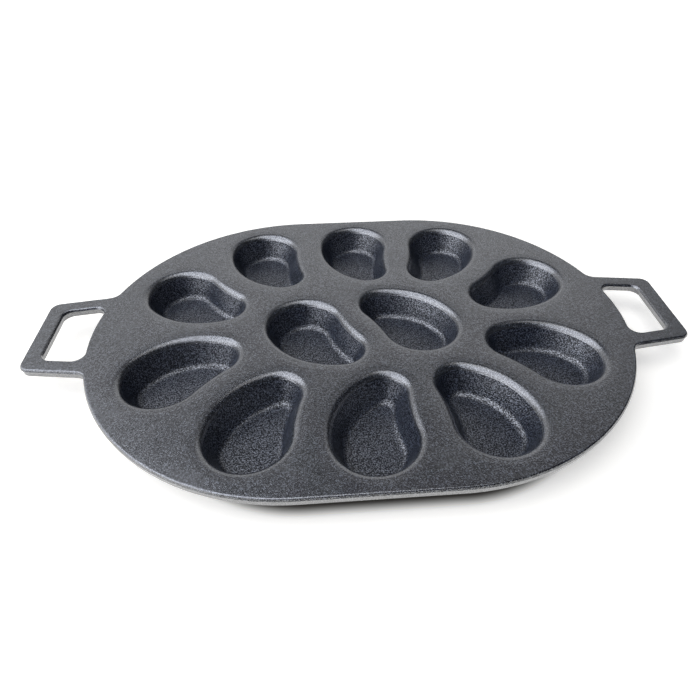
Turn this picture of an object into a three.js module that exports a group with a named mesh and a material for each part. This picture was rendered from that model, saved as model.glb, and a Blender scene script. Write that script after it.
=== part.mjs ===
// Cast-iron oyster pan: a flat oval deck with twelve oyster-shaped wells and a loop handle at each end.
// Millimetres, +Z up. The origin is under the middle of the pan, on the surface that it stands on.
// +X runs along the pan from handle to handle.

import * as THREE from 'three';

// Deck: two half circles joined by straight long sides. The wells and their webs set its width.
const deckStraight = 105;
const deckThickness = 4.5;

// Edge, the same all the way round the deck and the handles: a rounded top corner, a land that leans out
// down to the parting line, a small step in, and a drafted band below it.
const edgeHeight = 7.5;
const edgeRadius = 1.3;
const edgeLeanAngle = 28;
const partingDepth = 2;
const partingStep = 0.5;
const partingDrop = 0.5;
const edgeTuck = 0.5;
const skirtWidth = 7;

// Handles: flat loops that taper a little towards the bar. Both stand a little behind the middle.
const handleReach = 45;
const handleRootLength = 12;
const handleAcross = 3;
const handleHalfWidthAtRoot = 46;
const handleHalfWidthAtBar = 41.5;
const handleBar = 14;
const handleLeg = 13;
const handleCornerRadius = 9;
const handleHoleRadius = 8;
const rootFillet = 10;
const holeRootFillet = 8;

// Wells: the same form twelve times, as a left-hand and a right-hand one.
const wellDepth = 22.5;
const wellFloor = 5.5;
const wellWall = 4.5;
const wellBottomWall = 3.5;
const lipRadius = 6.5;
const bottomFillet = 6;
const undersideFillet = 7;

// Mouth outline: a broad round end, a narrow round end, a bulging side and a pinched side.
const mouthBroadRadius = 31.8;
const mouthNarrowRadius = 19.3;
const mouthCentreGap = 43;
const mouthSideRadius = 62.3;
const mouthPinchRadius = 151.2;

// Floor outline: drawn in from the mouth, more at the narrow end, with a tighter pinch.
const floorInset = 9.8;
const floorNarrowInset = 10.8;
const floorPinchRadius = 80;

// Where the wells stand. The middle two leave a web between the broad end of one and the narrow end of
// the other. The side wells leave a web to them and one to the deck's edge. The corner and end wells
// stand in the deck's round ends, by their web to the edge and their bearing from the round's centre.
// A turn angle is how far the line from broad end to narrow end is turned from +X, in degrees.
const middleWellWeb = 20.6;
const middleWellTurnAngle = 315;
const leftMiddleWellAcross = 0.5;
const rightMiddleWellAcross = -6;
const sideWellInnerWeb = 19.3;
const sideWellWeb = 14.7;
const sideWellTurnAngle = 76.5;
const cornerWellWeb = 17.9;
const cornerWellBearingAngle = 73.1;
const cornerWellTurnAngle = 63.5;
const endWellWeb = 21.7;
const endWellBearingAngle = 27.2;
const endWellTurnAngle = 29.5;

// Seasoned iron.
const ironColour = 0x3b3b3d;
const ironRoughness = 0.55;
const ironMetalness = 0.6;

// Facets of each curved stretch.
const endArcSteps = 10;
const holeEdgeSteps = 4;
const rootFilletSteps = 3;
const handleCornerSteps = 5;
const skirtArcSteps = 24;
const edgeRoundSteps = 2;
const broadArcSteps = 11;
const sideArcSteps = 5;
const narrowArcSteps = 8;
const pinchArcSteps = 4;
const lipSteps = 4;
const bottomSteps = 3;
const undersideSteps = 2;

const radians = THREE.MathUtils.degToRad;
const halfTurn = 180;

// From a well's broad centre to its narrow centre, at a turn angle.
function narrowOffset(turnAngle) {
  return new THREE.Vector2(mouthCentreGap, 0).rotateAround(new THREE.Vector2(), radians(turnAngle));
}

// The longer side of a right triangle, from its slanting side and its shorter one.
function longSide(slant, short) {
  return Math.sqrt(slant ** 2 - short ** 2);
}

// Half the distance between the middle wells' broad centres.
function middleWellSpread() {
  const offset = narrowOffset(middleWellTurnAngle - halfTurn);
  const apart = mouthBroadRadius + middleWellWeb + mouthNarrowRadius;
  return (longSide(apart, rightMiddleWellAcross + offset.y - leftMiddleWellAcross) - offset.x) / 2;
}

// How far the side wells' broad centres are from the middle of the pan.
function sideWellReach() {
  const middle = narrowOffset(middleWellTurnAngle - halfTurn);
  middle.add(new THREE.Vector2(middleWellSpread(), rightMiddleWellAcross));
  const offset = narrowOffset(-sideWellTurnAngle);
  const apart = 2 * mouthNarrowRadius + sideWellInnerWeb;
  return middle.y + longSide(apart, middle.x - offset.x) - offset.y;
}

const deckTop = wellFloor + wellDepth;
const deckUnderside = deckTop - deckThickness;
const endRadius = sideWellReach() + mouthBroadRadius + sideWellWeb;
const endCentre = new THREE.Vector2(deckStraight / 2, 0);
const deckEndX = endCentre.x + endRadius;
const barOuterX = deckEndX + handleReach;
const barInnerX = barOuterX - handleBar;
const seamX = deckEndX + handleRootLength;

// A point of a level outline, with the direction that points away from the iron.
function edgePoint(x, y, nx, ny) {
  return { x, y, nx, ny };
}

// Points on a circle. Their normals point away from its centre, or to it where the iron is outside.
function arcPoints(centre, radius, from, to, steps, hollow = false) {
  const curve = new THREE.EllipseCurve(centre.x, centre.y, radius, radius, from, to, to < from);
  const way = hollow ? -1 : 1;
  return curve.getPoints(steps).map((p) => edgePoint(
    p.x, p.y, way * (p.x - centre.x) / radius, way * (p.y - centre.y) / radius));
}

function bearing(from, to) {
  return Math.atan2(to.y - from.y, to.x - from.x);
}

// The same angle, one turn on if it is less than start.
function turnedPast(start, angle) {
  return angle < start ? angle + 2 * Math.PI : angle;
}

// The tip of the triangle that stands on the right of the line from a to b, with these two reaches.
function apexRightOf(a, reachFromA, b, reachFromB) {
  const along = b.clone().sub(a);
  const length = along.length();
  const foot = (length ** 2 + reachFromA ** 2 - reachFromB ** 2) / (2 * length);
  const height = Math.sqrt(reachFromA ** 2 - foot ** 2);
  along.normalize();
  return new THREE.Vector2(
    a.x + along.x * foot + along.y * height,
    a.y + along.y * foot - along.x * height);
}

// Oyster outline from four tangent arcs, anticlockwise. The broad end's centre is the origin and the
// narrow end's is on +x. The outline bulges on the +y side and is pinched on the -y side.
function oysterOutline({ broadRadius, narrowRadius, centreGap, sideRadius, pinchRadius }) {
  const broad = new THREE.Vector2(0, 0);
  const narrow = new THREE.Vector2(centreGap, 0);
  const side = apexRightOf(broad, sideRadius - broadRadius, narrow, sideRadius - narrowRadius);
  const pinch = apexRightOf(broad, pinchRadius + broadRadius, narrow, pinchRadius + narrowRadius);

  const sideStart = bearing(side, narrow);
  const sideEnd = turnedPast(sideStart, bearing(side, broad));
  const broadEnd = turnedPast(sideEnd, bearing(broad, pinch));
  const narrowStart = bearing(narrow, pinch);
  const narrowEnd = turnedPast(narrowStart, sideStart);

  const stretches = [
    arcPoints(side, sideRadius, sideStart, sideEnd, sideArcSteps),
    arcPoints(broad, broadRadius, sideEnd, broadEnd, broadArcSteps),
    arcPoints(pinch, pinchRadius, bearing(pinch, broad), bearing(pinch, narrow), pinchArcSteps, true),
    arcPoints(narrow, narrowRadius, narrowStart, narrowEnd, narrowArcSteps),
  ];
  // Each arc ends where the next one starts, so its last point is left out.
  return stretches.flatMap((points) => points.slice(0, -1));
}

// Mirror images keep the order of their points, so a whole outline is turned round afterwards.
function mirroredInX(points) {
  return points.map((p) => edgePoint(-p.x, p.y, -p.nx, p.ny));
}

function mirroredInY(points) {
  return points.map((p) => edgePoint(p.x, -p.y, p.nx, -p.ny));
}

function placed(outline, place) {
  const c = Math.cos(place.turn);
  const s = Math.sin(place.turn);
  return outline.map((p) => edgePoint(
    place.x + c * p.x - s * p.y, place.y + s * p.x + c * p.y,
    c * p.nx - s * p.ny, s * p.nx + c * p.ny));
}

const mouthRight = oysterOutline({
  broadRadius: mouthBroadRadius,
  narrowRadius: mouthNarrowRadius,
  centreGap: mouthCentreGap,
  sideRadius: mouthSideRadius,
  pinchRadius: mouthPinchRadius,
});
const floorRight = oysterOutline({
  broadRadius: mouthBroadRadius - floorInset,
  narrowRadius: mouthNarrowRadius - floorNarrowInset,
  centreGap: mouthCentreGap,
  sideRadius: mouthSideRadius - floorInset,
  pinchRadius: floorPinchRadius,
});

// A right-hand well is pinched on its right, seen from its broad end.
const wellForms = {
  right: { mouth: mouthRight, floor: floorRight },
  left: { mouth: mirroredInY(mouthRight).reverse(), floor: mirroredInY(floorRight).reverse() },
};

// A closed solid whose skin is made of rings, the bands between them, and flat caps.
class Skin {
  constructor() {
    this.positions = [];
    this.indices = [];
  }

  ring(points) {
    const start = this.positions.length / 3;
    points.forEach((p) => this.positions.push(p.x, p.y, p.z));
    return { start, points };
  }

  rings(lists) {
    return lists.map((points) => this.ring(points));
  }

  // Faces between neighbouring rings. Rings given from the top down make faces that look outwards,
  // and rings given from the bottom up make the inside of a hollow.
  bands(rings) {
    rings.slice(1).forEach((lower, r) => {
      const upper = rings[r];
      const count = upper.points.length;
      for (let i = 0; i < count; i += 1) {
        const j = (i + 1) % count;
        this.indices.push(upper.start + i, lower.start + i, lower.start + j);
        this.indices.push(upper.start + i, lower.start + j, upper.start + j);
      }
    });
  }

  // A level face bounded by one ring, with other rings as its holes, looking up (1) or down (-1).
  cap(outer, holes, facing) {
    const rings = [outer, ...holes];
    const flat = rings.map((ring) => ring.points.map((p) => new THREE.Vector2(p.x, p.y)));
    const owners = rings.flatMap((ring) => ring.points.map((p, i) => ring.start + i));
    const points = flat.flat();
    THREE.ShapeUtils.triangulateShape(flat[0], flat.slice(1)).forEach(([a, b, c]) => {
      const area = THREE.ShapeUtils.area([points[a], points[b], points[c]]);
      const order = area * facing > 0 ? [a, b, c] : [a, c, b];
      this.indices.push(...order.map((i) => owners[i]));
    });
  }

  geometry() {
    const geometry = new THREE.BufferGeometry();
    geometry.setAttribute('position', new THREE.Float32BufferAttribute(this.positions, 3));
    geometry.setIndex(this.indices);
    geometry.computeVertexNormals();
    return geometry;
  }
}

// An outline moved away from the iron by a distance, at a height.
function ringAt(outline, distance, z) {
  return outline.map((p) => ({ x: p.x + p.nx * distance, y: p.y + p.ny * distance, z }));
}

// The level line of a well's wall at a height. The wall runs straight from mouth corner to floor corner.
function wallRing({ mouth, floor }, z) {
  const share = (deckTop - z) / wellDepth;
  return mouth.map((p, i) => ({
    x: p.x + (floor[i].x - p.x) * share,
    y: p.y + (floor[i].y - p.y) * share,
    z,
  }));
}

// Rings that round the corner between a level face and a leaning wall, from the face to the wall.
// rise is -1 where the wall drops from the face, and 1 where it climbs from it.
function filletRings(corner, wallEnd, radius, steps, rise) {
  return Array.from({ length: steps + 1 }, (_, k) => corner.map((p, i) => {
    const dx = rise * (wallEnd[i].x - p.x);
    const dy = rise * (wallEnd[i].y - p.y);
    const run = Math.hypot(dx, dy);
    const wallAngle = Math.atan2(rise * (wallEnd[i].z - p.z), run);
    const angle = wallAngle * k / steps;
    const along = rise * radius * (Math.sin(angle) - Math.tan(wallAngle / 2));
    return {
      x: p.x + dx / run * along,
      y: p.y + dy / run * along,
      z: p.z + rise * radius * (1 - Math.cos(angle)),
    };
  }));
}

// One mouth in the deck: the rounded lip, then the wall down to the underside.
function mouthRings(form) {
  const corner = ringAt(form.mouth, 0, deckTop);
  const lip = filletRings(corner, wallRing(form, wellFloor), lipRadius, lipSteps, -1);
  return [...lip, wallRing(form, deckUnderside)];
}

// One cup below the deck, from its flat top ring down to the flat underside that the pan stands on.
function wellGeometry(form) {
  const skin = new Skin();
  const innerTop = wallRing(form, deckUnderside);
  const floorCorner = wallRing(form, wellFloor);
  const innerFillet = filletRings(floorCorner, innerTop, bottomFillet, bottomSteps, 1);
  const inner = skin.rings([...innerFillet, innerTop]);

  const outerTop = innerTop.map((p, i) => ({
    x: p.x + form.mouth[i].nx * wellWall,
    y: p.y + form.mouth[i].ny * wellWall,
    z: p.z,
  }));
  const footCorner = ringAt(form.floor, wellBottomWall, 0);
  const outerFillet = filletRings(footCorner, outerTop, undersideFillet, undersideSteps, 1);
  const outer = skin.rings([outerTop, ...outerFillet.reverse()]);

  skin.bands(inner);
  skin.bands(outer);
  skin.cap(inner[0], [], 1);
  skin.cap(outer[0], [inner.at(-1)], 1);
  skin.cap(outer.at(-1), [], -1);
  return skin.geometry();
}

// Where each well stands and which hand it has, clockwise from the back left, then the middle two.
// The ring's narrow ends point inwards. The middle two lie head to tail.
function wellPlaces() {
  const onEndCircle = (web, angle) => {
    const reach = endRadius - web - mouthBroadRadius;
    return {
      x: endCentre.x + reach * Math.cos(radians(angle)),
      y: reach * Math.sin(radians(angle)),
    };
  };
  const corner = onEndCircle(cornerWellWeb, cornerWellBearingAngle);
  const end = onEndCircle(endWellWeb, endWellBearingAngle);
  const sideY = sideWellReach();
  const middleX = middleWellSpread();
  const well = (x, y, turnAngle, hand) => ({ x, y, turn: radians(turnAngle), hand });
  return [
    well(-corner.x, corner.y, -cornerWellTurnAngle, 'left'),
    well(0, sideY, -sideWellTurnAngle, 'left'),
    well(corner.x, corner.y, halfTurn + cornerWellTurnAngle, 'right'),
    well(end.x, end.y, halfTurn + endWellTurnAngle, 'right'),
    well(end.x, -end.y, halfTurn - endWellTurnAngle, 'left'),
    well(corner.x, -corner.y, halfTurn - cornerWellTurnAngle, 'left'),
    well(0, -sideY, sideWellTurnAngle, 'right'),
    well(-corner.x, -corner.y, cornerWellTurnAngle, 'right'),
    well(-end.x, -end.y, endWellTurnAngle, 'right'),
    well(-end.x, end.y, -endWellTurnAngle, 'left'),
    well(-middleX, leftMiddleWellAcross, middleWellTurnAngle, 'left'),
    well(middleX, rightMiddleWellAcross, middleWellTurnAngle - halfTurn, 'left'),
  ];
}

// A handle leg's edges are straight lines with the same slope. They are given for x > 0 and y > 0,
// on a handle that stands across from the middle. The other leg is this one's mirror image.
const legSlope = (handleHalfWidthAtBar - handleHalfWidthAtRoot) / (barOuterX - seamX);
const legSecant = Math.hypot(1, legSlope);
const legNormalAngle = Math.atan2(1, -legSlope);

function legOuterY(x, across) {
  return across + handleHalfWidthAtRoot + legSlope * (x - seamX);
}

function legInnerY(x, across) {
  return legOuterY(x, across) - handleLeg * legSecant;
}

// Centre of the fillet between the deck's end circle and the straight line that lineY gives, above
// the line for side 1 and below it for side -1: where a parallel line meets a parallel circle.
function rootFilletCentre(radius, lineY, side) {
  const start = lineY(0) + side * radius * legSecant;
  const a = legSecant ** 2;
  const b = start * legSlope - endCentre.x;
  const c = start ** 2 + endCentre.x ** 2 - (endRadius + radius) ** 2;
  const x = (-b + Math.sqrt(b ** 2 - a * c)) / a;
  return new THREE.Vector2(x, start + legSlope * x);
}

// The ends of a leg at the seam. They only move along the seam when the outline is offset.
function seamPoints(across) {
  return [
    edgePoint(seamX, legInnerY(seamX, across), 0, -legSecant),
    edgePoint(seamX, legOuterY(seamX, across), 0, legSecant),
  ];
}

// A quarter of the deck's outline, from the middle of the hand hole to the start of the long side.
function deckQuarter(across) {
  const inner = rootFilletCentre(holeRootFillet, (x) => legInnerY(x, across), -1);
  const outer = rootFilletCentre(rootFillet, (x) => legOuterY(x, across), 1);
  const innerBearing = bearing(endCentre, inner);
  const outerBearing = bearing(endCentre, outer);
  return [
    ...arcPoints(endCentre, endRadius, 0, innerBearing, holeEdgeSteps).slice(0, -1),
    ...arcPoints(inner, holeRootFillet, innerBearing + Math.PI, legNormalAngle, rootFilletSteps, true),
    ...seamPoints(across),
    ...arcPoints(outer, rootFillet, legNormalAngle + Math.PI, outerBearing + Math.PI, rootFilletSteps, true),
    ...arcPoints(endCentre, endRadius, outerBearing, Math.PI / 2, endArcSteps).slice(1),
  ];
}

// The half of the deck's outline with y > 0, up to the point where the other half starts.
function deckHalf(across) {
  const quarter = deckQuarter(across);
  return [...quarter, ...mirroredInX(quarter).reverse().slice(0, -1)];
}

function deckOutline() {
  const otherHalf = deckHalf(-handleAcross).map((p) => edgePoint(-p.x, -p.y, -p.nx, -p.ny));
  return [...deckHalf(handleAcross), ...otherHalf];
}

// The plain oval without handle roots, drawn in by an inset.
function ovalOutline(inset) {
  const half = arcPoints(endCentre, endRadius - inset, -Math.PI / 2, Math.PI / 2, skirtArcSteps);
  return [...half, ...mirroredInX(half).reverse()];
}

// The leg of a handle with y > 0, from the bar's outer edge round to the hand hole.
function handleHalf(across) {
  const outerX = barOuterX - handleCornerRadius;
  const innerX = barInnerX - handleHoleRadius;
  const outerY = legOuterY(outerX, across) - handleCornerRadius * legSecant;
  const innerY = legInnerY(innerX, across) - handleHoleRadius * legSecant;
  const outer = new THREE.Vector2(outerX, outerY);
  const inner = new THREE.Vector2(innerX, innerY);
  return [
    ...arcPoints(outer, handleCornerRadius, 0, legNormalAngle, handleCornerSteps),
    ...seamPoints(across).reverse(),
    ...arcPoints(inner, handleHoleRadius, legNormalAngle, 0, handleCornerSteps, true),
  ];
}

function handleOutline() {
  return [...handleHalf(handleAcross), ...mirroredInY(handleHalf(-handleAcross)).reverse()];
}

// How far the edge is drawn in at a depth below the top, from the parting line down.
function edgeInsetBelow(depth) {
  const start = partingDepth + partingDrop;
  return partingStep + edgeTuck * (depth - start) / (edgeHeight - start);
}

// The edge's section from the top face to the parting step. The corner's circle touches the top face and
// the leaning land.
function upperEdge() {
  const lean = radians(edgeLeanAngle);
  const landDepth = partingDepth - edgeRadius * (1 - Math.sin(lean));
  const centreInset = edgeRadius * Math.cos(lean) + landDepth * Math.tan(lean);
  const round = Array.from({ length: edgeRoundSteps + 1 }, (_, k) => {
    const angle = (Math.PI / 2 - lean) * k / edgeRoundSteps;
    return { inset: centreInset - edgeRadius * Math.sin(angle), depth: edgeRadius * (1 - Math.cos(angle)) };
  });
  return [
    ...round,
    { inset: 0, depth: partingDepth },
    { inset: partingStep, depth: partingDepth + partingDrop },
  ];
}

function edgeRings(outline, section) {
  return section.map(({ inset, depth }) => ringAt(outline, -inset, deckTop - depth));
}

function lowerEdge(depth) {
  return { inset: edgeInsetBelow(depth), depth };
}

function deckGeometry(places) {
  const skin = new Skin();
  const edge = skin.rings(edgeRings(deckOutline(), [...upperEdge(), lowerEdge(deckThickness)]));
  const mouths = places.map((place) => {
    const form = wellForms[place.hand];
    const here = { mouth: placed(form.mouth, place), floor: placed(form.floor, place) };
    return skin.rings(mouthRings(here).reverse());
  });
  skin.bands(edge);
  mouths.forEach((rings) => skin.bands(rings));
  skin.cap(edge[0], mouths.map((rings) => rings.at(-1)), 1);
  skin.cap(edge.at(-1), mouths.map((rings) => rings[0]), -1);
  return skin.geometry();
}

function skirtGeometry() {
  const skin = new Skin();
  const depths = [deckThickness, edgeHeight];
  const outer = skin.rings(edgeRings(deckOutline(), depths.map(lowerEdge)));
  const hollow = depths.map((depth) => ringAt(ovalOutline(skirtWidth), 0, deckTop - depth));
  const inner = skin.rings(hollow.reverse());
  skin.bands(outer);
  skin.bands(inner);
  skin.cap(outer[0], [inner[1]], 1);
  skin.cap(outer[1], [inner[0]], -1);
  return skin.geometry();
}

function handleGeometry(outline) {
  const skin = new Skin();
  const edge = skin.rings(edgeRings(outline, [...upperEdge(), lowerEdge(edgeHeight)]));
  skin.bands(edge);
  skin.cap(edge[0], [], 1);
  skin.cap(edge.at(-1), [], -1);
  return skin.geometry();
}

function ironMesh(name, geometry) {
  const material = new THREE.MeshStandardMaterial({
    color: ironColour,
    roughness: ironRoughness,
    metalness: ironMetalness,
  });
  const mesh = new THREE.Mesh(geometry, material);
  mesh.name = name;
  return mesh;
}

const pan = new THREE.Group();
pan.name = 'oyster_pan';

const places = wellPlaces();
pan.add(ironMesh('deck_plate', deckGeometry(places)));
pan.add(ironMesh('rim_skirt', skirtGeometry()));
pan.add(ironMesh('handle_right', handleGeometry(handleOutline())));
pan.add(ironMesh('handle_left', handleGeometry(mirroredInX(handleOutline()).reverse())));

const cups = { right: wellGeometry(wellForms.right), left: wellGeometry(wellForms.left) };
places.forEach((place, i) => {
  const well = ironMesh(`well_${String(i + 1).padStart(2, '0')}`, cups[place.hand]);
  well.position.set(place.x, place.y, 0);
  well.rotation.z = place.turn;
  pan.add(well);
});

export default pan;
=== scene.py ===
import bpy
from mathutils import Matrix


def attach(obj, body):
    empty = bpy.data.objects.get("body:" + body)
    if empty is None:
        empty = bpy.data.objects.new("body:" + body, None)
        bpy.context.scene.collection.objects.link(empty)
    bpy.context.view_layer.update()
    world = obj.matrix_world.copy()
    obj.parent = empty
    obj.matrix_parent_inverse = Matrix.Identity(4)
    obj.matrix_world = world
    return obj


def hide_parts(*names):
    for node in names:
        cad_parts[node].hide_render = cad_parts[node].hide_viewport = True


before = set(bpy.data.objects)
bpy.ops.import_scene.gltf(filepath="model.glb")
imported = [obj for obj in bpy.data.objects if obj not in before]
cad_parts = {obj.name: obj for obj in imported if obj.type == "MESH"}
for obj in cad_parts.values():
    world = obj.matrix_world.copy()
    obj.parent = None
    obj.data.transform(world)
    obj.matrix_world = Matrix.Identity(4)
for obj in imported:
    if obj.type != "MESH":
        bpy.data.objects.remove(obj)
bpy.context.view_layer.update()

import math

import bpy
import numpy as np
from mathutils import Matrix, Vector
from mathutils.geometry import delaunay_2d_cdt

mm = 0.001

# The values in the dictionaries are in millimetres and degrees, and the studio's are in metres.

# Outlines. Each is a pair of arrays, points and normals. A normal points away from the iron.


# An arc: points at centre + radius * (cos a, sin a), for angles a spread evenly, without the last one.
# The normals point outwards, or inwards where the iron lies outside the circle.
def arcPoints(centre, radius, start, end, steps, hollow=False):
    angle = np.linspace(start, end, steps, endpoint=False)
    out = np.stack([np.cos(angle), np.sin(angle)], 1)
    return np.asarray(centre) + radius * out, -out if hollow else out


# One outline from several stretches.
def joined(*stretches):
    return np.vstack([s[0] for s in stretches]), np.vstack([s[1] for s in stretches])


# Mirror image, with x times sx and y times sy. The order of the points stays.
def mirrored(outline, sx, sy):
    return outline[0] * [sx, sy], outline[1] * [sx, sy]


# The same outline walked the other way.
def walkedBack(outline):
    return outline[0][::-1], outline[1][::-1]


# Turned by an angle round the origin, then moved by x and y.
def placed(outline, x, y, turn):
    turning = np.array([[math.cos(turn), math.sin(turn)], [-math.sin(turn), math.cos(turn)]])
    return outline[0] @ turning + [x, y], outline[1] @ turning


# Angle of the way from one point to another.
def bearing(start, end):
    return math.atan2(end[1] - start[1], end[0] - start[0])


# The angle, or a full turn more where it lies before the start.
def turnedPast(start, angle):
    return angle + 2 * math.pi if angle < start else angle


# Tip of the triangle that stands on the right of the line a to b, with these two side lengths. Its foot is
# (length^2 + reachA^2 - reachB^2) / (2 length) along the line, and its height closes a right triangle.
def apexRightOf(a, reachA, b, reachB):
    along = np.subtract(b, a)
    length = np.hypot(*along)
    foot = (length**2 + reachA**2 - reachB**2) / (2 * length)
    height = math.sqrt(reachA**2 - foot**2)
    ex, ey = along / length
    return np.array([a[0] + ex * foot + ey * height, a[1] + ey * foot - ex * height])


# Wells. Every one is the same cup, as a left-hand and a right-hand one.
wells = {
    "broadRadius": 31.8,
    "narrowRadius": 19.3,
    "centreGap": 43.0,
    "sideRadius": 62.3,
    "pinchRadius": 151.2,
    "floorInset": 9.8,
    "floorNarrowInset": 10.8,
    "floorPinchRadius": 80.0,
    "depth": 22.5,
    "floor": 5.5,
    "wall": 4.5,
    "bottomWall": 3.5,
    "lipRadius": 6.5,
    "dip": 0.22,
    "dipWidth": 4.5,
    "dipSteps": 4,
    "bottomFillet": 6.0,
    "undersideFillet": 7.0,
    "arcSteps": {"side": 26, "broad": 56, "pinch": 16, "narrow": 42},
    "filletSteps": 10,
    "wallSteps": 6,
    "mouthWallSteps": 2,
    "flatShares": [0.92, 0.6, 0.3],
}


# Oyster outline: four tangent arcs, anticlockwise from the narrow end round the bulging side. The broad
# centre is the origin, the narrow centre on +x, the pinched side on -y.
def oysterOutline(broad, narrow, gap, side, pinch):
    broadCentre, narrowCentre = np.array([0.0, 0.0]), np.array([gap, 0.0])
    sideCentre = apexRightOf(broadCentre, side - broad, narrowCentre, side - narrow)
    pinchCentre = apexRightOf(broadCentre, pinch + broad, narrowCentre, pinch + narrow)
    sideStart = bearing(sideCentre, narrowCentre)
    sideEnd = turnedPast(sideStart, bearing(sideCentre, broadCentre))
    broadEnd = turnedPast(sideEnd, bearing(broadCentre, pinchCentre))
    narrowStart = bearing(narrowCentre, pinchCentre)
    narrowEnd = turnedPast(narrowStart, sideStart)
    pinchStart, pinchEnd = bearing(pinchCentre, broadCentre), bearing(pinchCentre, narrowCentre)
    steps = wells["arcSteps"]
    return joined(
        arcPoints(sideCentre, side, sideStart, sideEnd, steps["side"]),
        arcPoints(broadCentre, broad, sideEnd, broadEnd, steps["broad"]),
        arcPoints(pinchCentre, pinch, pinchStart, pinchEnd, steps["pinch"], True),
        arcPoints(narrowCentre, narrow, narrowStart, narrowEnd, steps["narrow"]),
    )


# Mouth and floor outlines of a well of one hand. The floor is the mouth drawn in, with a tighter pinch.
def wellForm(hand):
    w = wells
    mouth = oysterOutline(
        w["broadRadius"], w["narrowRadius"], w["centreGap"], w["sideRadius"], w["pinchRadius"])
    floor = oysterOutline(
        w["broadRadius"] - w["floorInset"], w["narrowRadius"] - w["floorNarrowInset"], w["centreGap"],
        w["sideRadius"] - w["floorInset"], w["floorPinchRadius"])
    if hand == "right":
        return mouth, floor
    return walkedBack(mirrored(mouth, 1, -1)), walkedBack(mirrored(floor, 1, -1))


# Where the wells stand, as in the model: webs between neighbours, and bearings round the end circles.
layout = {
    "middleWeb": 20.6,
    "middleTurn": 315.0,
    "leftMiddleAcross": 0.5,
    "rightMiddleAcross": -6.0,
    "sideInnerWeb": 19.3,
    "sideWeb": 14.7,
    "sideTurn": 76.5,
    "cornerWeb": 17.9,
    "cornerBearing": 73.1,
    "cornerTurn": 63.5,
    "endWeb": 21.7,
    "endBearing": 27.2,
    "endTurn": 29.5,
}

deck = {
    "straight": 105.0,
    "thickness": 4.5,
    "arcSteps": 90,
    "rootSteps": 14,
    "holeSteps": 24,
    "straightSteps": 12,
}


# Point at a distance from the origin, on a bearing.
def polar(length, degrees):
    return np.array([length * math.cos(math.radians(degrees)), length * math.sin(math.radians(degrees))])


# Long side of a right triangle, by Pythagoras.
def longSide(slant, short):
    return math.sqrt(slant**2 - short**2)


# Half the distance between the middle wells' broad centres, from the web between the broad end of one
# and the narrow end of the other: the long side of a right triangle, less the narrow end's own offset.
middleOffset = polar(wells["centreGap"], layout["middleTurn"] - 180)
middleApart = wells["broadRadius"] + layout["middleWeb"] + wells["narrowRadius"]
middleRise = layout["rightMiddleAcross"] + middleOffset[1] - layout["leftMiddleAcross"]
middleX = (longSide(middleApart, middleRise) - middleOffset[0]) / 2

# The side wells' distance from the middle, in the same way from the web between two narrow ends.
middleNarrow = middleOffset + [middleX, layout["rightMiddleAcross"]]
sideOffset = polar(wells["centreGap"], -layout["sideTurn"])
sideApart = 2 * wells["narrowRadius"] + layout["sideInnerWeb"]
sideY = middleNarrow[1] + longSide(sideApart, middleNarrow[0] - sideOffset[0]) - sideOffset[1]

deckTop = wells["floor"] + wells["depth"]
deckUnderside = deckTop - deck["thickness"]
endRadius = sideY + wells["broadRadius"] + layout["sideWeb"]
endX = deck["straight"] / 2


# Each well's node with its broad centre, turn and hand, clockwise from the back left, then the middle.
def wellPlaces():
    def onEndCircle(web, degrees):
        return polar(endRadius - web - wells["broadRadius"], degrees) + [endX, 0]

    cornerX, cornerY = onEndCircle(layout["cornerWeb"], layout["cornerBearing"])
    outX, outY = onEndCircle(layout["endWeb"], layout["endBearing"])
    corner, end = layout["cornerTurn"], layout["endTurn"]
    side, middle = layout["sideTurn"], layout["middleTurn"]
    rows = [
        (-cornerX, cornerY, -corner, "left"),
        (0, sideY, -side, "left"),
        (cornerX, cornerY, 180 + corner, "right"),
        (outX, outY, 180 + end, "right"),
        (outX, -outY, 180 - end, "left"),
        (cornerX, -cornerY, 180 - corner, "left"),
        (0, -sideY, side, "right"),
        (-cornerX, -cornerY, corner, "right"),
        (-outX, -outY, end, "right"),
        (-outX, outY, -end, "left"),
        (-middleX, layout["leftMiddleAcross"], middle, "left"),
        (middleX, layout["rightMiddleAcross"], middle - 180, "left"),
    ]
    return {f"well_{i + 1:02d}": (x, y, math.radians(t), hand) for i, (x, y, t, hand) in enumerate(rows)}


# Surfaces. A ring is an array of points (x, y, z), and a skin is a stack of rings.


# An outline moved along its normals by a distance, at a height.
def ringAt(outline, distance, z):
    points = outline[0] + outline[1] * distance
    return np.column_stack([points, np.full(len(points), float(z))])


# Level line of a well's wall: a straight blend from the mouth's corner down to the floor's corner.
def wallRing(mouth, floor, z):
    share = (deckTop - z) / wells["depth"]
    return np.column_stack([mouth[0] + (floor[0] - mouth[0]) * share, np.full(len(mouth[0]), float(z))])


# Rings round the corner between a level face and a leaning wall, from the face to the wall. A circle of
# this radius touches both: at angle a it stands radius * (sin a - tan(wall / 2)) along, and
# radius * (1 - cos a) up or down.
def filletRings(corner, wallEnd, radius, steps, rise):
    lean = rise * (wallEnd - corner)
    run = np.hypot(lean[:, 0], lean[:, 1])
    wallAngle = np.arctan2(lean[:, 2], run)
    angle = np.linspace(0, 1, steps + 1)[:, None] * wallAngle
    along = rise * radius * (np.sin(angle) - np.tan(wallAngle / 2))
    rings = np.empty((steps + 1, len(corner), 3))
    rings[..., :2] = corner[:, :2] + (lean[:, :2] / run[:, None]) * along[..., None]
    rings[..., 2] = corner[:, 2] + rise * radius * (1 - np.cos(angle))
    return rings


# Rings spread evenly between two rings, ends included.
def ringsBetween(first, last, steps):
    share = np.linspace(0, 1, steps + 1)[:, None, None]
    return first + (last - first) * share


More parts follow.
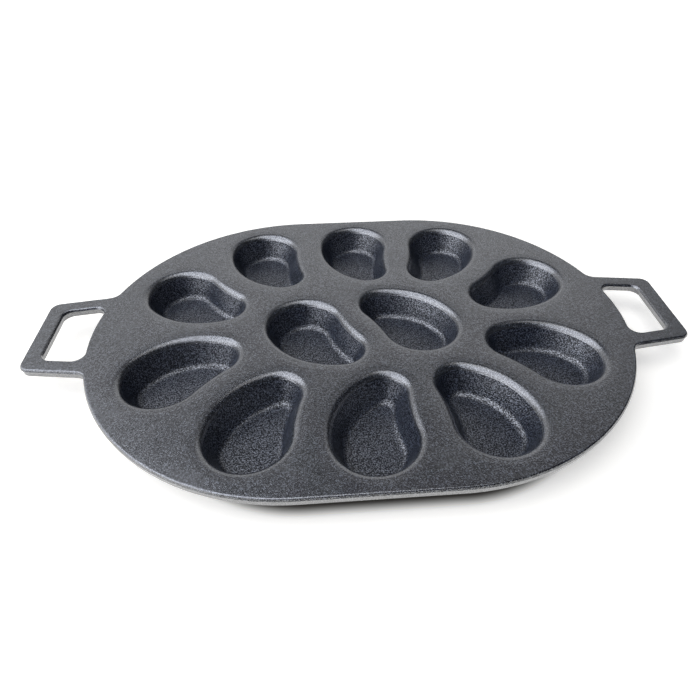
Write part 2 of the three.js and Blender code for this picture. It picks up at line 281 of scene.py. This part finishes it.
# Quads between neighbouring rings of a stack whose first point has index start. Point j of ring i has
# index start + i * pointCount + j, and the last point of a ring joins its first.
def bandQuads(ringCount, pointCount, start=0):
    ring, point = np.meshgrid(np.arange(ringCount - 1), np.arange(pointCount), indexing="ij")
    after = (point + 1) % pointCount
    a, b = ring * pointCount + point, ring * pointCount + after
    c, d = (ring + 1) * pointCount + after, (ring + 1) * pointCount + point
    return start + np.stack([a, d, c, b], -1).reshape(-1, 4)


# Closed skin from a stack of rings: bands between the rings, and a fan to a pole at each end.
def closedSkin(rings):
    count, size = rings.shape[:2]
    poles = rings[[0, -1]].mean(1)
    points = np.vstack([rings.reshape(-1, 3), poles])
    i = np.arange(size)
    after = (i + 1) % size
    last = (count - 1) * size
    first = np.stack([np.full(size, count * size), i, after], 1)
    end = np.stack([np.full(size, count * size + 1), last + after, last + i], 1)
    return points, [bandQuads(count, size), first, end]


# Level sheet between a border ring and hole rings: a constrained Delaunay triangulation of their points.
# Rings are (points, first index). Triangles are kept where their middle is inside the border and outside
# every hole, and turned round where their area's sign isn't the facing's.
def sheetTriangles(border, holes, facing):
    rings = [border, *holes]
    flat = np.vstack([points[:, :2] for points, start in rings])
    owners = np.concatenate([start + np.arange(len(points)) for points, start in rings])
    edges = []
    offset = 0
    for points, start in rings:
        i = np.arange(len(points))
        edges += (offset + np.stack([i, (i + 1) % len(points)], 1)).tolist()
        offset += len(points)
    found = delaunay_2d_cdt(flat.tolist(), edges, [], 1, 1e-9)  # 1: only triangles inside the constraints
    where = np.array([ids[0] for ids in found[3]])
    triangles = where[np.array(found[2])]
    middle = flat[triangles].mean(1)
    keep = insideRing(middle, border[0])
    for points, start in holes:
        keep &= ~insideRing(middle, points)
    triangles = triangles[keep]
    a, b, c = (flat[triangles[:, k]] for k in range(3))
    area = (b[:, 0] - a[:, 0]) * (c[:, 1] - a[:, 1]) - (c[:, 0] - a[:, 0]) * (b[:, 1] - a[:, 1])
    wrong = area * facing < 0
    triangles[wrong] = triangles[wrong][:, ::-1]
    return owners[triangles]


# Even-odd rule: a point is inside where an odd number of the ring's edges lie to its right.
def insideRing(points, ring):
    x, y = points[:, :1], points[:, 1:2]
    ax, ay = ring[:, 0], ring[:, 1]
    bx, by = np.roll(ax, -1), np.roll(ay, -1)
    spans = (ay > y) != (by > y)
    height = np.where(by == ay, 1.0, by - ay)
    return ((x < ax + (y - ay) * (bx - ax) / height) & spans).sum(1) % 2 == 1


# Mesh object from points in millimetres and lists of face arrays, shaded smooth up to a sharp angle.
def makePiece(name, points, faceArrays, sharpDegrees=40):
    mesh = bpy.data.meshes.new(name)
    faces = [face for array in faceArrays for face in array.tolist()]
    mesh.from_pydata((points * mm).tolist(), [], faces)
    mesh.polygons.foreach_set("use_smooth", np.ones(len(mesh.polygons), bool))
    mesh.set_sharp_from_angle(angle=math.radians(sharpDegrees))
    mesh.update()
    piece = bpy.data.objects.new(name, mesh)
    bpy.context.scene.collection.objects.link(piece)
    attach(piece, "root")
    return piece


# Edge section, the same round the deck, the skirt and the handles: a rounded top corner, a land that
# leans out, a parting step, a tucked-in band and a rounded bottom corner. Pairs of inset and depth below
# the top.
edge = {
    "height": 7.5,
    "radius": 1.3,
    "lean": 28.0,
    "partingDepth": 2.0,
    "partingStep": 0.5,
    "partingDrop": 0.5,
    "tuck": 0.5,
    "bottomRadius": 0.9,
    "flatMargin": 0.5,
    "roundSteps": 8,
    "stepSteps": 4,
    "bandPoints": 3,
}


# Inset of the band at a depth: the parting step, and the tuck times the share of the way down the band.
def tuckAt(depth):
    start = edge["partingDepth"] + edge["partingDrop"]
    return edge["partingStep"] + edge["tuck"] * (depth - start) / (edge["height"] - start)


# Round corner: a circle of radius r that touches the top and the leaning land, at insets c - r sin a and
# depths r (1 - cos a). Then the land, then an S-shaped step: half a cosine wave.
def upperEdge():
    lean = math.radians(edge["lean"])
    r = edge["radius"]
    landDepth = edge["partingDepth"] - r * (1 - math.sin(lean))
    c = r * math.cos(lean) + landDepth * math.tan(lean)
    angle = np.linspace(0, math.pi / 2 - lean, edge["roundSteps"] + 1)
    corner = np.stack([c - r * np.sin(angle), r * (1 - np.cos(angle))], 1)
    share = np.linspace(0, 1, edge["stepSteps"] + 1)
    step = np.stack([
        edge["partingStep"] * (1 - np.cos(math.pi * share)) / 2,
        edge["partingDepth"] + edge["partingDrop"] * share], 1)
    return np.vstack([[[c + edge["flatMargin"], 0]], corner, step])


# The band from a depth down, then a quarter circle of radius r into the underside.
def lowerEdge(fromDepth):
    r = edge["bottomRadius"]
    depths = np.linspace(fromDepth, edge["height"] - r, edge["bandPoints"])
    band = np.stack([[tuckAt(d) for d in depths], depths], 1)
    angle = np.linspace(0, math.pi / 2, edge["roundSteps"] + 1)[1:]
    corner = np.stack([
        tuckAt(edge["height"] - r) + r * (1 - np.cos(angle)),
        edge["height"] - r + r * np.sin(angle)], 1)
    last = corner[-1] + [edge["flatMargin"], 0]
    return np.vstack([band, corner, [last]])


# The section carried round an outline: one ring for each point of the section.
def edgeRings(outline, section):
    return np.stack([ringAt(outline, -inset, deckTop - depth) for inset, depth in section])


# Handles. Both stand a little behind the middle.
handle = {
    "reach": 45.0,
    "rootLength": 12.0,
    "across": 3.0,
    "halfWidthAtRoot": 46.0,
    "halfWidthAtBar": 41.5,
    "bar": 14.0,
    "leg": 13.0,
    "cornerRadius": 9.0,
    "holeRadius": 8.0,
    "rootFillet": 10.0,
    "holeRootFillet": 8.0,
    "cornerSteps": 20,
    "legSteps": 6,
    "barSteps": 10,
}
barOuterX = endX + endRadius + handle["reach"]
barInnerX = barOuterX - handle["bar"]
seamX = endX + endRadius + handle["rootLength"]
legSlope = (handle["halfWidthAtBar"] - handle["halfWidthAtRoot"]) / (barOuterX - seamX)
legSecant = math.hypot(1, legSlope)
legNormalAngle = math.atan2(1, -legSlope)


# Straight edges of the leg with y > 0, for a handle that stands across from the middle.
def legOuterY(x, across):
    return across + handle["halfWidthAtRoot"] + legSlope * (x - seamX)


def legInnerY(x, across):
    return legOuterY(x, across) - handle["leg"] * legSecant


# Centre of the fillet between the deck's end circle and a leg's edge: where a line parallel to the edge
# meets a circle round the same centre, which is a quadratic in x.
def rootFilletCentre(radius, lineY, side):
    start = lineY(0) + side * radius * legSecant
    a, b = legSecant**2, start * legSlope - endX
    c = start**2 + endX**2 - (endRadius + radius) ** 2
    x = (-b + math.sqrt(b**2 - a * c)) / a
    return np.array([x, start + legSlope * x])


# Points along a leg's edge between two places along x. The ends at the seam only move along the seam
# when the outline is offset, so their normals are longer.
def legEdge(lineY, fromX, toX, side):
    x = np.linspace(fromX, toX, handle["legSteps"] + 1)
    points = np.stack([x, lineY(x)], 1)
    out = side * np.array([math.cos(legNormalAngle), math.sin(legNormalAngle)])
    normals = np.tile(out, (len(x), 1))
    normals[x == seamX] = [0, side * legSecant]
    return points, normals


# A quarter of the deck's outline, from the middle of the hand hole to the middle of the long side.
def deckQuarter(across):
    centre = np.array([endX, 0.0])
    inner = rootFilletCentre(handle["holeRootFillet"], lambda x: legInnerY(x, across), -1)
    outer = rootFilletCentre(handle["rootFillet"], lambda x: legOuterY(x, across), 1)
    innerBearing, outerBearing = bearing(centre, inner), bearing(centre, outer)
    leftInner = inner[0] + handle["holeRootFillet"] * math.cos(legNormalAngle)
    leftOuter = outer[0] - handle["rootFillet"] * math.cos(legNormalAngle)
    straight = np.linspace(endX, 0, deck["straightSteps"] + 1)
    side = np.stack([straight, np.full(len(straight), endRadius)], 1)
    return joined(
        arcPoints(centre, endRadius, 0, innerBearing, deck["holeSteps"]),
        arcPoints(inner, handle["holeRootFillet"], innerBearing + math.pi, legNormalAngle,
                  deck["rootSteps"], True),
        legEdge(lambda x: legInnerY(x, across), leftInner, seamX, -1),
        legEdge(lambda x: legOuterY(x, across), seamX, leftOuter, 1),
        walkedArc(outer, handle["rootFillet"], legNormalAngle + math.pi, outerBearing + math.pi,
                  deck["rootSteps"]),
        arcPoints(centre, endRadius, outerBearing, math.pi / 2, deck["arcSteps"]),
        (side, np.tile([0.0, 1.0], (len(side), 1))),
    )


# Hollow arc without its first point, because the edge before it ends there.
def walkedArc(centre, radius, start, end, steps):
    points, normals = arcPoints(centre, radius, end, start, steps, True)
    return points[1:][::-1], normals[1:][::-1]


# The half with y > 0: the quarter, then its mirror image at the left.
def deckHalf(across):
    quarter = deckQuarter(across)
    back = walkedBack(mirrored(quarter, -1, 1))
    return joined(quarter, (back[0][1:-1], back[1][1:-1]))


# Whole outline: the second half is turned half a turn, with its handles across the other way.
def deckOutline():
    return joined(deckHalf(handle["across"]), mirrored(deckHalf(-handle["across"]), -1, -1))


# The plain oval without handle roots, drawn in by an inset.
def ovalOutline(inset):
    half = arcPoints([endX, 0], endRadius - inset, -math.pi / 2, math.pi / 2, 2 * deck["arcSteps"])
    straight = np.linspace(endX, -endX, deck["straightSteps"], endpoint=False)
    side = np.stack([straight, np.full(len(straight), endRadius - inset)], 1)
    top = (side, np.tile([0.0, 1.0], (len(side), 1)))
    right = joined(half, top)
    return joined(right, mirrored(right, -1, -1))


# The leg of a handle with y > 0, from the bar's outer edge round to the hand hole.
def handleHalf(across):
    outerX, innerX = barOuterX - handle["cornerRadius"], barInnerX - handle["holeRadius"]
    outer = [outerX, legOuterY(outerX, across) - handle["cornerRadius"] * legSecant]
    inner = [innerX, legInnerY(innerX, across) - handle["holeRadius"] * legSecant]
    outerEnd = outer[0] + handle["cornerRadius"] * math.cos(legNormalAngle)
    innerStart = inner[0] + handle["holeRadius"] * math.cos(legNormalAngle)
    hollow = arcPoints(inner, handle["holeRadius"], legNormalAngle, 0, handle["cornerSteps"], True)
    y = np.linspace(inner[1], 0, handle["barSteps"] + 1)
    bar = (np.stack([np.full(len(y), barInnerX), y], 1), np.tile([-1.0, 0.0], (len(y), 1)))
    y = np.linspace(0, outer[1], handle["barSteps"], endpoint=False)[1:]
    outside = (np.stack([np.full(len(y), barOuterX), y], 1), np.tile([1.0, 0.0], (len(y), 1)))
    innerLeg = legEdge(lambda x: legInnerY(x, across), seamX, innerStart, -1)
    return joined(
        outside,
        arcPoints(outer, handle["cornerRadius"], 0, legNormalAngle, handle["cornerSteps"]),
        legEdge(lambda x: legOuterY(x, across), outerEnd, seamX, 1),
        (innerLeg[0][:-1], innerLeg[1][:-1]),
        hollow,
        bar,
    )


# Whole loop: the leg with y > 0, then the other one, mirrored, then the middle of the bar's outer edge.
def handleOutline():
    upper, lower = handleHalf(handle["across"]), handleHalf(-handle["across"])
    back = walkedBack(mirrored(lower, 1, -1))
    start = (np.array([[barOuterX, 0.0]]), np.array([[1.0, 0.0]]))
    return joined(upper, (back[0][1:], back[1][1:]), start)


# Seasoned grey iron, sand cast. A thin skin of baked oil and black iron oxide covers it, so the surface
# is almost black and satin: no bare metal shows, so it isn't metallic, and the index is magnetite's 2.4.
# The roughness starts at the 0.3 of a satin skin and is matched to the photograph. Moulding sand of 0.3 to
# 0.5 mm is too fine to show, so its grains are drawn at 0.6 and 0.95 mm. Their tops glint, and dull soot
# in the pits returns less light. The grains' tops are also painted paler in colour: partly the grain's own
# tone, partly a painted glint. The blue in the pit colour is painted bluish shade. The deck is worn
# smoother than the wells, whose pits hold more soot, and the wells' grain tops are painted darker and
# bluer than the deck's, as painted shade in the hollows.
iron = {
    # Pit colour: its blue tint is painted bluish shade.
    "pitAndShadeColour": "080d18",
    "dryColour": "101114",
    "gritFrom": 0.50,
    "gritTo": 0.70,
    "ior": 2.4,
    "roughnessSpread": 0.04,
    "blotchFrom": 0.3,
    "blotchTo": 0.7,
    "swellHeight": 0.12,
    "fineHeight": 0.05,
    "patterns": {
        "grain": {"size": 0.95, "detail": 1.0, "roughness": 0.6},
        "fineGrain": {"size": 0.6, "detail": 1.0, "roughness": 0.5},
        "swell": {"size": 16.0, "detail": 2.0, "roughness": 0.5},
        "blotch": {"size": 26.0, "detail": 4.0, "roughness": 0.5},
    },
    "faces": {
        # The deck's grit colour: the grain tops' own paler tone and a painted glint.
        "deck": {"roughness": 0.25, "grainHeight": 0.14, "gritGlintColour": "50555d",
                 "sheenFrom": 0.36, "sheenTo": 0.64, "pitSheen": 0.36, "gritSheen": 0.64},
        # The wells' grit colour is darker and bluer: a painted glint on the grain tops and painted shade in
        # the hollows.
        "well": {"roughness": 0.34, "grainHeight": 0.28, "gritGlintColour": "3f495c",
                 "sheenFrom": 0.42, "sheenTo": 0.70, "pitSheen": 0.07, "gritSheen": 0.74},
    },
}


# Linear colour from an sRGB hex value: c / 12.92 up to 0.04045, and ((c + 0.055) / 1.055) ^ 2.4 above.
def fromHex(code):
    channels = np.array([int(code[i:i + 2], 16) for i in (0, 2, 4)]) / 255
    linear = np.where(channels <= 0.04045, channels / 12.92, ((channels + 0.055) / 1.055) ** 2.4)
    return (*linear.tolist(), 1.0)


# Adds a node, sets its inputs and properties, and links sockets given as (node, output) pairs.
def addNode(tree, kind, settings=None, **inputs):
    node = tree.nodes.new(kind)
    for name, value in (settings or {}).items():
        setattr(node, name, value)
    for name, value in inputs.items():
        socket = node.inputs[int(name[1:])] if name[0] == "i" and name[1:].isdigit() else node.inputs[name]
        if isinstance(value, tuple) and isinstance(value[0], bpy.types.Node):
            tree.links.new(value[0].outputs[value[1]], socket)
        else:
            socket.default_value = value
    return node


# Iron for the deck or the wells. Each pattern is a noise. Three of them add up to the relief, and colour,
# specular level and roughness run straight from one value to another over a range of a noise.
def seasonedIron(name):
    face = iron["faces"][name]
    material = bpy.data.materials.new(name + "SeasonedCastIron")
    material.use_nodes = True
    tree = material.node_tree
    tree.nodes.clear()
    place = addNode(tree, "ShaderNodeTexCoord")
    noise = {
        key: addNode(tree, "ShaderNodeTexNoise", Vector=(place, "Object"), Scale=1 / (pattern["size"] * mm),
                     Detail=pattern["detail"], Roughness=pattern["roughness"])
        for key, pattern in iron["patterns"].items()}
    waves = addNode(tree, "ShaderNodeBump", Height=(noise["swell"], 0), Strength=1.0,
                    Distance=iron["swellHeight"] * mm)
    coarse = addNode(tree, "ShaderNodeBump", Height=(noise["grain"], 0), Strength=1.0,
                     Distance=face["grainHeight"] * mm, Normal=(waves, 0))
    surface = addNode(tree, "ShaderNodeBump", Height=(noise["fineGrain"], 0), Strength=1.0,
                      Distance=iron["fineHeight"] * mm, Normal=(coarse, 0))
    # Ground colour: the pit and dry colours by blotches; the pit colour's blue is painted bluish shade.
    ground = addNode(tree, "ShaderNodeMix", {"data_type": "RGBA"}, i0=(noise["blotch"], 0),
                     i6=fromHex(iron["pitAndShadeColour"]), i7=fromHex(iron["dryColour"]))
    # Grain tops get the grit colour: partly their own paler tone, partly a painted glint, and in the wells
    # painted shade.
    grit = addNode(tree, "ShaderNodeMapRange", i0=(noise["grain"], 0), i1=iron["gritFrom"],
                   i2=iron["gritTo"])
    colour = addNode(tree, "ShaderNodeMix", {"data_type": "RGBA"}, i0=(grit, 0), i6=(ground, 2),
                     i7=fromHex(face["gritGlintColour"]))
    sheen = addNode(tree, "ShaderNodeMapRange", i0=(noise["grain"], 0), i1=face["sheenFrom"],
                    i2=face["sheenTo"], i3=face["pitSheen"], i4=face["gritSheen"])
    gloss = addNode(tree, "ShaderNodeMapRange", i0=(noise["blotch"], 0), i1=iron["blotchFrom"],
                    i2=iron["blotchTo"],
                    i3=face["roughness"] - iron["roughnessSpread"],
                    i4=face["roughness"] + iron["roughnessSpread"])
    shader = addNode(tree, "ShaderNodeBsdfPrincipled", **{
        "Base Color": (colour, 2), "Metallic": 0.0, "Roughness": (gloss, 0),
        "IOR": iron["ior"], "Specular IOR Level": (sheen, 0), "Normal": (surface, 0)})
    addNode(tree, "ShaderNodeOutputMaterial", Surface=(shader, 0))
    return material


# Cup: from the inner floor's middle out over the bottom fillet, up the wall, over the flat rim under the
# deck, down the outside, round the underside fillet and in along the flat base.
def wellPoints(mouth, floor):
    w = wells
    innerTop = wallRing(mouth, floor, deckUnderside)
    corner = wallRing(mouth, floor, w["floor"])
    inner = filletRings(corner, innerTop, w["bottomFillet"], w["filletSteps"], 1)
    innerFlat = inner[0].mean(0) + (inner[0] - inner[0].mean(0)) * np.array(
        w["flatShares"][::-1])[:, None, None]
    wall = ringsBetween(inner[-1], innerTop, w["wallSteps"])[1:]
    outerTop = innerTop.copy()
    outerTop[:, :2] += mouth[1] * w["wall"]
    foot = ringAt(floor, w["bottomWall"], 0)
    outer = filletRings(foot, outerTop, w["undersideFillet"], w["filletSteps"], 1)[::-1]
    outside = ringsBetween(outerTop, outer[0], w["wallSteps"])[:-1]
    base = outer[-1].mean(0) + (outer[-1] - outer[-1].mean(0)) * np.array(w["flatShares"])[:, None, None]
    return np.concatenate([innerFlat, inner, wall, outside, outer, base])


# One closed cup in each place.
def makeWells(material):
    for node, (x, y, turn, hand) in wellPlaces().items():
        mouth, floor = (placed(outline, x, y, turn) for outline in wellForm(hand))
        points, faces = closedSkin(wellPoints(mouth, floor))
        well = makePiece(node + "_cup", points, faces)
        well.data.materials.append(material)
        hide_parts(node)
    print("wells made")


# Mouth in the deck: the rounded lip, then the wall down to the underside. The flat dips a little before
# the lip, where the pattern was rubbed down: by dip * (3 t^2 - 2 t^3), t going from 0 to 1 over the
# dip's width. The lip's rings go down with it, and the wall takes it up.
def mouthRings(mouth, floor):
    w = wells
    corner = ringAt(mouth, 0, deckTop)
    lip = filletRings(corner, wallRing(mouth, floor, w["floor"]), w["lipRadius"], w["filletSteps"], -1)
    t = np.linspace(0, 1, w["dipSteps"] + 1)[:-1]
    margin = np.repeat(lip[:1], len(t), axis=0)
    margin[..., :2] += mouth[1] * (w["dipWidth"] * (1 - t))[:, None, None]
    margin[..., 2] -= (w["dip"] * (3 * t**2 - 2 * t**3))[:, None]
    lip[..., 2] -= w["dip"]
    wall = ringsBetween(lip[-1], wallRing(mouth, floor, deckUnderside), w["mouthWallSteps"])[1:]
    return np.concatenate([margin, lip, wall])


# Deck plate: the edge rings, the mouths' rings, and a level sheet above and below between them.
def makeDeck(material):
    section = np.vstack([upperEdge(), [[tuckAt(deck["thickness"]), deck["thickness"]]]])
    rim = edgeRings(deckOutline(), section)
    stacks = [rim]
    for x, y, turn, hand in wellPlaces().values():
        mouth, floor = (placed(outline, x, y, turn) for outline in wellForm(hand))
        stacks.append(mouthRings(mouth, floor)[::-1])
    faces, top, bottom = [], [], []
    start = 0
    for k, stack in enumerate(stacks):
        count, size = stack.shape[:2]
        faces.append(bandQuads(count, size, start))
        upper, lower = (0, count - 1) if k == 0 else (count - 1, 0)
        top.append((stack[upper], start + upper * size))
        bottom.append((stack[lower], start + lower * size))
        start += count * size
    faces.append(sheetTriangles(top[0], top[1:], 1))
    faces.append(sheetTriangles(bottom[0], bottom[1:], -1))
    points = np.vstack([stack.reshape(-1, 3) for stack in stacks])
    plate = makePiece("deck_plate_casting", points, faces)
    plate.data.materials.append(material)
    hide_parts("deck_plate")
    print("deck made")


skirt = {"width": 7.0, "innerSteps": 3}


# Skirt: the tucked-in band below the deck, with an oval hollow behind it.
def makeSkirt(material):
    outer = edgeRings(deckOutline(), lowerEdge(deck["thickness"]))
    heights = np.linspace(deckTop - edge["height"], deckUnderside, skirt["innerSteps"] + 1)
    oval = ovalOutline(skirt["width"])
    inner = np.stack([ringAt(oval, 0, z) for z in heights])
    faces = [bandQuads(*outer.shape[:2]), bandQuads(*inner.shape[:2], outer.shape[0] * outer.shape[1])]
    innerStart = outer.shape[0] * outer.shape[1]
    innerTop = (inner[-1], innerStart + (len(inner) - 1) * inner.shape[1])
    faces.append(sheetTriangles((outer[0], 0), [innerTop], 1))
    lowStart = (len(outer) - 1) * outer.shape[1]
    faces.append(sheetTriangles((outer[-1], lowStart), [(inner[0], innerStart)], -1))
    points = np.vstack([outer.reshape(-1, 3), inner.reshape(-1, 3)])
    band = makePiece("rim_skirt_band", points, faces)
    band.data.materials.append(material)
    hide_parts("rim_skirt")
    print("skirt made")


# Handles: the whole edge section carried round each loop, and a level sheet above and below.
def makeHandles(material):
    section = np.vstack([upperEdge(), lowerEdge(deck["thickness"])])
    right = handleOutline()
    for node, outline in (("handle_right", right), ("handle_left", walkedBack(mirrored(right, -1, 1)))):
        rings = edgeRings(outline, section)
        count, size = rings.shape[:2]
        faces = [bandQuads(count, size)]
        faces.append(sheetTriangles((rings[0], 0), [], 1))
        faces.append(sheetTriangles((rings[-1], (count - 1) * size), [], -1))
        loop = makePiece(node + "_loop", rings.reshape(-1, 3), faces)
        loop.data.materials.append(material)
        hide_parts(node)
    print("handles made")


# Camera at the photograph's angle: turned and tilted about the middle of the deck's top, then moved in
# its own axes. The focal length and the middle of the view are in the picture's own pixels.
camera = {
    "imagePixels": 700,
    "focalPixels": 566.4,
    "axisPixelX": 366.3,
    "turn": -4.685,
    "tilt": 41.69,
    "roll": 0.203,
    "aside": 3.16,
    "below": 23.9,
    "distance": 475.8,
    "sensorWidth": 36.0,
    "clipStart": 10.0,
    "clipEnd": 50000.0,
}


def makeCamera():
    data = bpy.data.cameras.new("camera")
    data.sensor_width = camera["sensorWidth"]
    data.lens = camera["focalPixels"] / camera["imagePixels"] * camera["sensorWidth"]
    data.shift_x = -(camera["axisPixelX"] / camera["imagePixels"] - 0.5)
    data.clip_start, data.clip_end = camera["clipStart"] * mm, camera["clipEnd"] * mm
    eye = bpy.data.objects.new("camera", data)
    eye.matrix_world = (
        Matrix.Translation((0, 0, deckTop * mm))
        @ Matrix.Rotation(math.radians(camera["turn"]), 4, "Z")
        @ Matrix.Rotation(math.radians(90 - camera["tilt"]), 4, "X")
        @ Matrix.Rotation(math.radians(camera["roll"]), 4, "Z")
        @ Matrix.Translation((camera["aside"] * mm, -camera["below"] * mm, camera["distance"] * mm)))
    bpy.context.scene.collection.objects.link(eye)
    bpy.context.scene.camera = eye


# Studio: white paper on the floor and a white surround. In reflections the surround is light behind and
# on the left and dim overhead, in front and on the right, as in a room with its windows on one side. A
# window-sized lamp hangs high at the left, and a weak one overhead. A shadow is painted on the paper under
# the deck, where its colour darkens, so that the pan's own shade deepens towards the wells.
studio = {
    "floorSize": 6.0,
    "floorColour": "f5efe1",
    # Painted shadow under the deck: shadeColour, with endReach, shadeShift and nearRing for where it lies.
    "shadeColour": "5c5850",
    "nearLift": 0.42,
    "farLift": 0.60,
    "endReach": (0.139, 0.166),
    "shadeShift": (0.005, -0.003),
    "nearRing": (0.92, 0.99),
    "farRing": (1.2, 2.6),
    "floorGlow": 0.90,
    "surroundColour": "fbfcff",
    "openLight": 0.90,
    "overheadLight": 0.03,
    "overheadFrom": 0.50,
    "overheadTo": 0.89,
    "dimShare": 0.05,
    "lightWay": (-0.75, 0.5, 0.4),
    "lightFrom": -0.1,
    "lightTo": 0.35,
    "ambientLight": 0.12,
    "ambientColour": "ccdcff",
    "lamps": {
        "key": {"place": (-1.30, -0.50, 1.70), "size": 3.8, "power": 90.0, "colour": "edf2ff"},
        "top": {"place": (0.25, -0.10, 2.20), "size": 1.5, "power": 5.0, "colour": "ffffff"},
    },
}


# Floor: d = |(max(|x| - end, 0) / reachX, y / reachY)| is 1 near the deck's edge, where end is where its
# straight middle stops. The paper's colour goes from a painted shadow colour to the floor colour by s, a
# smoothstep of d over the near ring, and the camera also sees nearLift * s, plus farLift times a smoothstep
# of d over the far ring, so the camera's extra light is held back under the deck and deepens the painted
# shadow.
def makeFloor():
    half = studio["floorSize"] / 2
    mesh = bpy.data.meshes.new("floor")
    mesh.from_pydata([(-half, -half, 0), (half, -half, 0), (half, half, 0), (-half, half, 0)], [],
                     [(0, 1, 2, 3)])
    floor = bpy.data.objects.new("floor", mesh)
    bpy.context.scene.collection.objects.link(floor)
    paper = bpy.data.materials.new("whitePaper")
    paper.use_nodes = True
    tree = paper.node_tree
    tree.nodes.clear()
    path = addNode(tree, "ShaderNodeLightPath")
    seen = addNode(tree, "ShaderNodeMath", {"operation": "MAXIMUM"},
                   i0=(path, "Is Camera Ray"), i1=(path, "Is Transmission Ray"))
    glossy = addNode(tree, "ShaderNodeMath", {"operation": "MULTIPLY"}, i0=(path, "Is Glossy Ray"),
                     i1=studio["floorGlow"])
    place = addNode(tree, "ShaderNodeTexCoord")
    (reachX, reachY), (shiftX, shiftY) = studio["endReach"], studio["shadeShift"]
    offset = addNode(tree, "ShaderNodeVectorMath", {"operation": "SUBTRACT"}, i0=(place, "Object"),
                     i1=(shiftX, shiftY, 0))
    outward = addNode(tree, "ShaderNodeVectorMath", {"operation": "ABSOLUTE"}, i0=(offset, 0))
    pastMiddle = addNode(tree, "ShaderNodeVectorMath", {"operation": "SUBTRACT"}, i0=(outward, 0),
                         i1=(endX * mm, 0, 0))
    beside = addNode(tree, "ShaderNodeVectorMath", {"operation": "MAXIMUM"}, i0=(pastMiddle, 0),
                     i1=(0, 0, 0))
    shares = addNode(tree, "ShaderNodeVectorMath", {"operation": "DIVIDE"}, i0=(beside, 0),
                     i1=(reachX, reachY, 1))
    away = addNode(tree, "ShaderNodeVectorMath", {"operation": "LENGTH"}, i0=(shares, 0))
    (nearFrom, nearTo), (farFrom, farTo) = studio["nearRing"], studio["farRing"]
    near = addNode(tree, "ShaderNodeMapRange", {"interpolation_type": "SMOOTHSTEP"},
                   i0=(away, "Value"), i1=nearFrom, i2=nearTo)
    far = addNode(tree, "ShaderNodeMapRange", {"interpolation_type": "SMOOTHSTEP"},
                  i0=(away, "Value"), i1=farFrom, i2=farTo, i4=studio["farLift"])
    fade = addNode(tree, "ShaderNodeMath", {"operation": "MULTIPLY_ADD"}, i0=(near, 0),
                   i1=studio["nearLift"], i2=(far, 0))
    lift = addNode(tree, "ShaderNodeMath", {"operation": "MULTIPLY_ADD"}, i0=(seen, 0),
                   i1=(fade, 0), i2=(glossy, 0))
    # Painted shadow: the paper's colour is the shade colour under the deck and the floor colour beyond the
    # near ring.
    ground = addNode(tree, "ShaderNodeMix", {"data_type": "RGBA"}, i0=(near, 0),
                     i6=fromHex(studio["shadeColour"]), i7=fromHex(studio["floorColour"]))
    matt = addNode(tree, "ShaderNodeBsdfDiffuse", Color=(ground, 2))
    glow = addNode(tree, "ShaderNodeEmission", Strength=(lift, 0))
    both = addNode(tree, "ShaderNodeAddShader", i0=(matt, 0), i1=(glow, 0))
    addNode(tree, "ShaderNodeOutputMaterial", Surface=(both, 0))
    mesh.materials.append(paper)


# Surround: in reflections its strength is a smoothstep of height z, from open to overhead, times a
# smoothstep of the cosine to the light's way, from dim to 1. It is 1 to the camera, and even otherwise.
def makeSurround():
    world = bpy.data.worlds.new("surround")
    bpy.context.scene.world = world
    world.use_nodes = True
    tree = world.node_tree
    tree.nodes.clear()
    way = addNode(tree, "ShaderNodeTexCoord")
    height = addNode(tree, "ShaderNodeSeparateXYZ", Vector=(way, "Generated"))
    overhead = addNode(tree, "ShaderNodeMapRange", {"interpolation_type": "SMOOTHSTEP"},
                       i0=(height, 2), i1=studio["overheadFrom"], i2=studio["overheadTo"],
                       i3=studio["openLight"], i4=studio["overheadLight"])
    toLight = addNode(tree, "ShaderNodeVectorMath", {"operation": "DOT_PRODUCT"}, i0=(way, "Generated"),
                      i1=Vector(studio["lightWay"]).normalized())
    share = addNode(tree, "ShaderNodeMapRange", {"interpolation_type": "SMOOTHSTEP"},
                    i0=(toLight, "Value"), i1=studio["lightFrom"], i2=studio["lightTo"],
                    i3=studio["dimShare"], i4=1.0)
    reflected = addNode(tree, "ShaderNodeMath", {"operation": "MULTIPLY"}, i0=(overhead, 0),
                        i1=(share, 0))
    path = addNode(tree, "ShaderNodeLightPath")
    indirect = addNode(tree, "ShaderNodeMix", {"data_type": "FLOAT"}, i0=(path, "Is Glossy Ray"),
                       i2=studio["ambientLight"], i3=(reflected, 0))
    through = addNode(tree, "ShaderNodeMath", {"operation": "MAXIMUM"},
                      i0=(path, "Is Camera Ray"), i1=(path, "Is Transmission Ray"))
    strength = addNode(tree, "ShaderNodeMix", {"data_type": "FLOAT"}, i0=(through, 0),
                       i2=(indirect, 0), i3=1.0)
    tint = addNode(tree, "ShaderNodeMix", {"data_type": "RGBA"}, i0=(path, "Is Diffuse Ray"),
                   i6=fromHex(studio["surroundColour"]), i7=fromHex(studio["ambientColour"]))
    sky = addNode(tree, "ShaderNodeBackground", Color=(tint, 2), Strength=(strength, 0))
    addNode(tree, "ShaderNodeOutputWorld", Surface=(sky, 0))


# Lamps: round sheets of light that face the origin and don't show.
def makeLamps():
    for name, values in studio["lamps"].items():
        lamp = bpy.data.lights.new(name, "AREA")
        lamp.shape = "DISK"
        lamp.size = values["size"]
        lamp.energy = values["power"]
        lamp.color = fromHex(values["colour"])[:3]
        holder = bpy.data.objects.new(name, lamp)
        holder.location = values["place"]
        holder.rotation_euler = (-holder.location).to_track_quat("-Z", "Y").to_euler()
        holder.visible_camera = False
        bpy.context.scene.collection.objects.link(holder)
    print("studio made")


bpy.context.scene.view_settings.view_transform = "Standard"
deckIron = seasonedIron("deck")
makeDeck(deckIron)
makeSkirt(deckIron)
makeHandles(deckIron)
makeWells(seasonedIron("well"))
makeCamera()
makeFloor()
makeSurround()
makeLamps()
